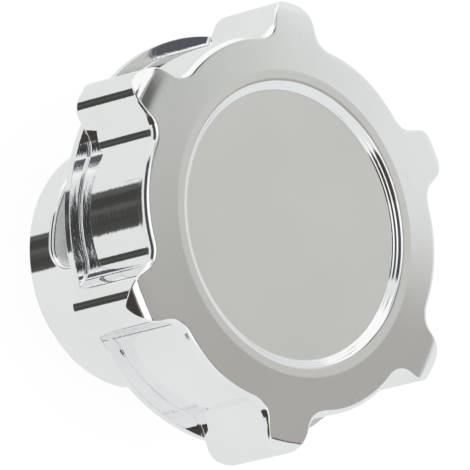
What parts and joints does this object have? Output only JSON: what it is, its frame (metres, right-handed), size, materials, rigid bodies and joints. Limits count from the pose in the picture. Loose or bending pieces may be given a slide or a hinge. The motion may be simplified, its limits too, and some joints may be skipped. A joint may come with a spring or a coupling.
{
  "type": "oil filler cap",
  "caption": "Chrome-plated twist-lock oil filler cap: a lobed round knob with a shallow face pocket on a flanged neck with L-shaped slots.",
  "frame": {"origin": "centre of the neck's open end, on the surface that the cap stands on", "axes": "+Z along the cap's axis, from the neck's open end to the knob's face; +Y through the middle of a lobe"},
  "size_m": [0.0642, 0.071, 0.04],
  "materials": {
    "polished_chrome": "bright chrome plate on turned and milled aluminium",
    "black_rubber": "matt nitrile rubber",
    "zinc_steel": "bright zinc-plated steel"
  },
  "bodies": {
    "root": {"knob": "polished_chrome", "neck": "polished_chrome", "filler_gasket": "black_rubber", "seal_ring": "black_rubber", "knob_screws": "zinc_steel"}
  },
  "joints": []
}
